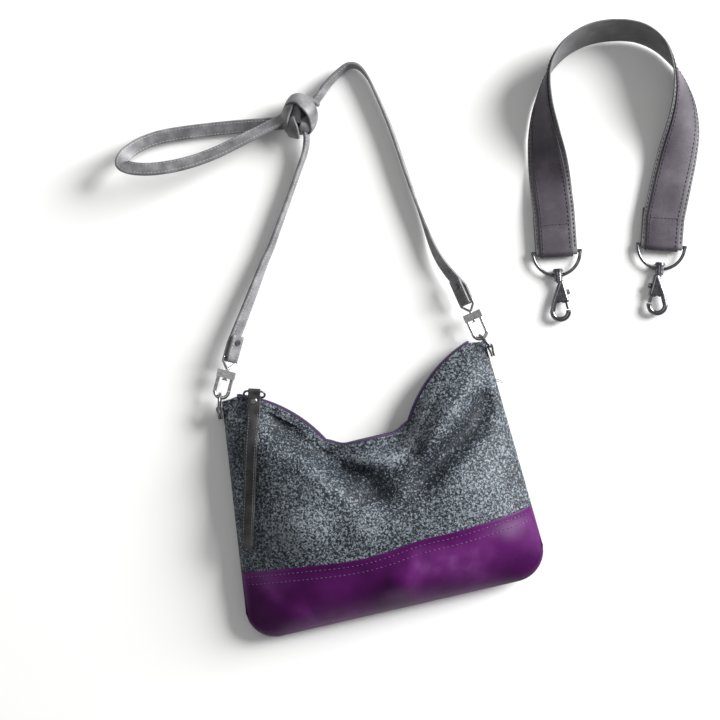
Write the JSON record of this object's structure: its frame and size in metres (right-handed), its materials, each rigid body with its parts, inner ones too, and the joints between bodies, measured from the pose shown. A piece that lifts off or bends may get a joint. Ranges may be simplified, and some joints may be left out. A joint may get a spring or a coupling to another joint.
{
  "type": "zip bag",
  "caption": "Soft two-colour leather zip bag lying on its back, with a knotted crossbody strap on swivel clips and a loose short shoulder strap with trigger snaps.",
  "frame": {"origin": "middle of the flat of the back, on the plane the bag and its straps rest on", "axes": "+X along the base to the wearer's left as seen from the front, +Y from the base to the mouth, +Z out of the front"},
  "size_m": [0.5298, 0.4967, 0.0501],
  "materials": {
    "crackle_leather": "pebbled, dark with pale worn tops",
    "base_leather": "smooth, semi-gloss",
    "lining_cloth": "plain woven cotton",
    "zip_tape": "woven polyester tape",
    "zip_coil": "moulded",
    "gunmetal": "dark plated zinc, semi-gloss",
    "nickel_plate": "dull nickel plate",
    "grey_strap_leather": "smooth, creased",
    "dark_strap_leather": "smooth, waxed",
    "mauve_leather": "fine grain, satin",
    "grey_lining_leather": "fine grain, matt",
    "black_nickel": "black nickel plate, gloss",
    "spring_steel": "drawn wire"
  },
  "bodies": {
    "bag": {"front_upper_panel": "crackle_leather", "back_upper_panel": "crackle_leather", "front_base_panel": "base_leather", "back_base_panel": "base_leather", "front_lining": "lining_cloth", "back_lining": "lining_cloth", "front_zip_tape": "zip_tape", "back_zip_tape": "zip_tape", "front_zip_teeth": "zip_coil", "back_zip_teeth": "zip_coil", "zip_start_stop": "gunmetal", "zip_end_stop": "gunmetal", "left_ring_tab": "dark_strap_leather", "right_ring_tab": "dark_strap_leather"},
    "slider": {"zip_slider": "gunmetal"},
    "pull_ring": {"zip_pull_ring": "gunmetal"},
    "pull": {"zip_pull_strap": "dark_strap_leather", "zip_pull_rivet": "gunmetal"},
    "left_ring": {"left_bag_ring": "gunmetal"},
    "right_ring": {"right_bag_ring": "gunmetal"},
    "crossbody": {"left_strap_run": "grey_strap_leather", "right_strap_run": "grey_strap_leather", "strap_loop": "grey_strap_leather", "strap_knot": "grey_strap_leather", "left_strap_stud": "gunmetal", "right_strap_stud": "gunmetal", "left_strap_eye": "nickel_plate", "right_strap_eye": "nickel_plate"},
    "left_clip": {"left_clip_body": "nickel_plate", "left_gate_pin": "nickel_plate", "left_gate_spring": "spring_steel"},
    "right_clip": {"right_clip_body": "nickel_plate", "right_gate_pin": "nickel_plate", "right_gate_spring": "spring_steel"},
    "left_gate": {"left_clip_gate": "nickel_plate"},
    "right_gate": {"right_clip_gate": "nickel_plate"},
    "shoulder_strap": {"handle_face": "mauve_leather", "handle_lining": "grey_lining_leather", "left_handle_fold": "mauve_leather", "right_handle_fold": "mauve_leather"},
    "left_eye": {"left_snap_eye": "black_nickel"},
    "right_eye": {"right_snap_eye": "black_nickel"},
    "left_snap": {"left_snap_hook": "black_nickel", "left_snap_spring": "spring_steel"},
    "right_snap": {"right_snap_hook": "black_nickel", "right_snap_spring": "spring_steel"},
    "left_trigger": {"left_snap_trigger": "black_nickel"},
    "right_trigger": {"right_snap_trigger": "black_nickel"}
  },
  "joints": [
    {"name": "zip_travel", "type": "hinge", "parent": "bag", "child": "slider", "pos_m": [-0.143, -0.002, 0.014], "axis": [0, 0, 1], "range_deg": [-22, 0]},
    {"name": "pull_ring_lift", "type": "hinge", "parent": "slider", "child": "pull_ring", "pos_m": [-0.0858, 0.11273, 0.0222], "axis": [0.9636, -0.2672, 0], "range_deg": [-26.4, 0]},
    {"name": "pull_swing", "type": "hinge", "parent": "pull_ring", "child": "pull", "pos_m": [-0.08432, 0.11805, 0.02651], "axis": [0.9636, -0.2672, 0], "range_deg": [-55, 0]},
    {"name": "left_ring_turn", "type": "hinge", "parent": "bag", "child": "left_ring", "pos_m": [-0.11987, 0.1095, 0.014], "axis": [0, 0, 1], "range_deg": [-2, 2]},
    {"name": "right_ring_turn", "type": "hinge", "parent": "bag", "child": "right_ring", "pos_m": [0.13346, 0.1095, 0.014], "axis": [0, 0, 1], "range_deg": [-2, 2]},
    {"name": "strap_swing", "type": "hinge", "parent": "bag", "child": "crossbody", "pos_m": [-0.11705, 0.11935, 0.014], "axis": [1, -0.004, 0], "range_deg": [0, 60]},
    {"name": "left_clip_swivel", "type": "hinge", "parent": "crossbody", "child": "left_clip", "pos_m": [-0.11705, 0.11935, 0.014], "axis": [0.4695, 0.8829, 0], "range_deg": [-15, 15]},
    {"name": "right_clip_swivel", "type": "hinge", "parent": "crossbody", "child": "right_clip", "pos_m": [0.12834, 0.11838, 0.014], "axis": [-0.1908, 0.9816, 0], "range_deg": [-15, 15]},
    {"name": "left_gate_press", "type": "hinge", "parent": "left_clip", "child": "left_gate", "pos_m": [-0.10158, 0.13503, 0.014], "axis": [0, 0, -1], "range_deg": [0, 20], "stiffness_Nm_per_rad": 0.02, "springref_deg": -17.19},
    {"name": "right_gate_press", "type": "hinge", "parent": "right_clip", "child": "right_gate", "pos_m": [0.11813, 0.13789, 0.014], "axis": [0, 0, 1], "range_deg": [0, 20], "stiffness_Nm_per_rad": 0.02, "springref_deg": -17.19},
    {"name": "shoulder_strap_lift", "type": "slide", "parent": "bag", "child": "shoulder_strap", "axis": [0, 0, 1], "range_m": [0, 0.15]},
    {"name": "left_eye_tip", "type": "hinge", "parent": "shoulder_strap", "child": "left_eye", "pos_m": [0.213, 0.18, 0.0049], "axis": [-0.9877, 0.1564, 0], "range_deg": [0, 75]},
    {"name": "left_snap_swivel", "type": "hinge", "parent": "left_eye", "child": "left_snap", "pos_m": [0.20962, 0.15867, 0.0049], "axis": [0.1564, 0.9877, 0], "continuous": true},
    {"name": "left_trigger_slide", "type": "slide", "parent": "left_snap", "child": "left_trigger", "axis": [-0.0523, 0.9986, 0], "range_m": [0, 0.006], "stiffness_N_per_m": 60, "springref_m": -0.004},
    {"name": "right_eye_tip", "type": "hinge", "parent": "shoulder_strap", "child": "right_eye", "pos_m": [0.308, 0.164, 0.0049], "axis": [-0.9563, 0.2924, 0], "range_deg": [0, 75]},
    {"name": "right_snap_swivel", "type": "hinge", "parent": "right_eye", "child": "right_snap", "pos_m": [0.30168, 0.14334, 0.0049], "axis": [0.2924, 0.9563, 0], "continuous": true},
    {"name": "right_trigger_slide", "type": "slide", "parent": "right_snap", "child": "right_trigger", "axis": [0.4848, 0.8746, 0], "range_m": [0, 0.006], "stiffness_N_per_m": 60, "springref_m": -0.004}
  ],
  "couplings": [
    {"joint": "pull_ring_lift", "follows": "zip_travel", "ratio": 1.2}
  ]
}
